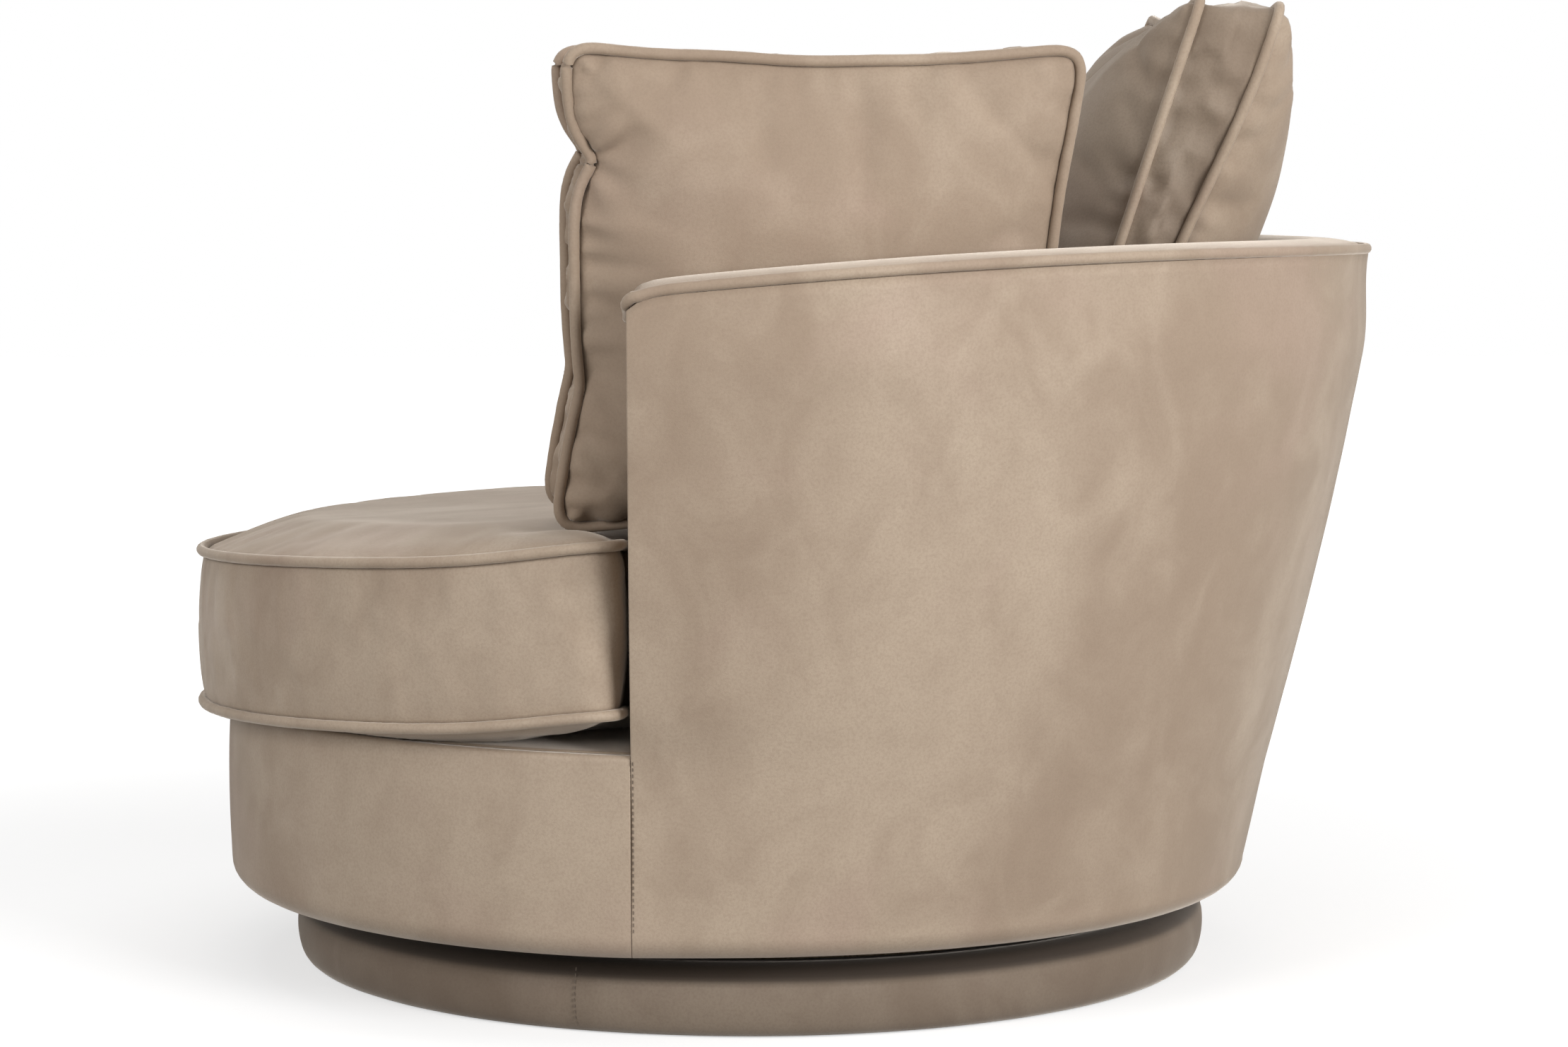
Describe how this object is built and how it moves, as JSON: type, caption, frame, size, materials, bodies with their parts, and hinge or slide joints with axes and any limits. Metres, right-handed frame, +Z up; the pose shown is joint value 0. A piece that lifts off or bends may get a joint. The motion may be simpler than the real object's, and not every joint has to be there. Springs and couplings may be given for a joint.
{
  "type": "swivel armchair",
  "caption": "Round upholstered swivel armchair on a padded plinth, with a wraparound back, a piped T-shaped seat cushion and loose piped back cushions.",
  "frame": {"origin": "on the floor under the swivel axis, at the middle glide's face", "axes": "+Z up along the swivel axis, the chair faces -Y, +X to the sitter's left"},
  "size_m": [1.2382, 1.1705, 0.9196],
  "materials": {
    "velvet": "plush velvet",
    "piping": "plush velvet",
    "foam": "open cell",
    "felt": "needled",
    "black_cloth": "matt",
    "plywood": "sanded",
    "black_steel": "satin",
    "zinc_steel": "zinc plated",
    "nylon": "matt"
  },
  "bodies": {
    "base": {"glides": "nylon", "plinth_floor_board": "plywood", "plinth_roof_board": "plywood", "plinth_blocks": "plywood", "plinth_screws": "zinc_steel", "plinth_hoop": "plywood", "plinth_wadding": "foam", "plinth_cover": "velvet", "lower_swivel_plate": "black_steel", "lower_plate_bolts": "zinc_steel", "lower_plate_nuts": "zinc_steel", "pivot_bolt": "zinc_steel", "pivot_washer": "zinc_steel", "pivot_nut": "zinc_steel"},
    "bearing_cage": {"bearing_balls": "zinc_steel", "ball_cage": "nylon"},
    "seat_frame": {"upper_swivel_plate": "black_steel", "upper_plate_bolts": "zinc_steel", "upper_plate_nuts": "zinc_steel", "pivot_bush": "nylon", "seat_base_board": "plywood", "base_dust_cover": "black_cloth", "apron_panel": "plywood", "apron_wadding": "foam", "apron_cover": "velvet", "seat_posts": "plywood", "spring_rail": "plywood", "zigzag_springs": "black_steel", "spring_clips": "zinc_steel", "deck_pad": "felt", "deck_cover": "black_cloth", "back_ribs": "plywood", "arm_posts": "plywood", "top_rail": "plywood", "back_outer_panel": "plywood", "back_inner_panel": "plywood", "back_outer_wadding": "foam", "back_foam": "foam", "inside_back_cover": "velvet", "outside_back_cover": "velvet", "rail_piping": "piping"},
    "seat_cushion": {"seat_cushion_cover": "velvet", "seat_cushion_core": "foam", "seat_cushion_top_piping": "piping", "seat_cushion_bottom_piping": "piping", "seat_cushion_zip": "nylon"},
    "left_cushion": {"left_cushion_cover": "velvet", "left_cushion_filling": "foam", "left_cushion_pipings": "piping", "left_cushion_zip": "nylon"},
    "right_cushion": {"right_cushion_cover": "velvet", "right_cushion_filling": "foam", "right_cushion_pipings": "piping", "right_cushion_zip": "nylon"},
    "rear_cushion": {"rear_cushion_cover": "velvet", "rear_cushion_filling": "foam", "rear_cushion_pipings": "piping", "rear_cushion_zip": "nylon"}
  },
  "joints": [
    {"name": "swivel", "type": "hinge", "parent": "base", "child": "seat_frame", "pos_m": [0, 0, 0.073], "axis": [0, 0, 1], "continuous": true},
    {"name": "cage_turn", "type": "hinge", "parent": "base", "child": "bearing_cage", "pos_m": [0, 0, 0.073], "axis": [0, 0, 1], "continuous": true},
    {"name": "seat_cushion_lift", "type": "slide", "parent": "seat_frame", "child": "seat_cushion", "axis": [0, 0, 1], "range_m": [0, 0.45]},
    {"name": "left_cushion_lift", "type": "slide", "parent": "seat_cushion", "child": "left_cushion", "axis": [0, 0, 1], "range_m": [0, 0.35]},
    {"name": "right_cushion_lift", "type": "slide", "parent": "seat_cushion", "child": "right_cushion", "axis": [0, 0, 1], "range_m": [0, 0.35]},
    {"name": "rear_cushion_lift", "type": "slide", "parent": "seat_cushion", "child": "rear_cushion", "axis": [0, 0, 1], "range_m": [0, 0.35]}
  ],
  "couplings": [
    {"joint": "cage_turn", "follows": "swivel", "ratio": 0.5}
  ]
}
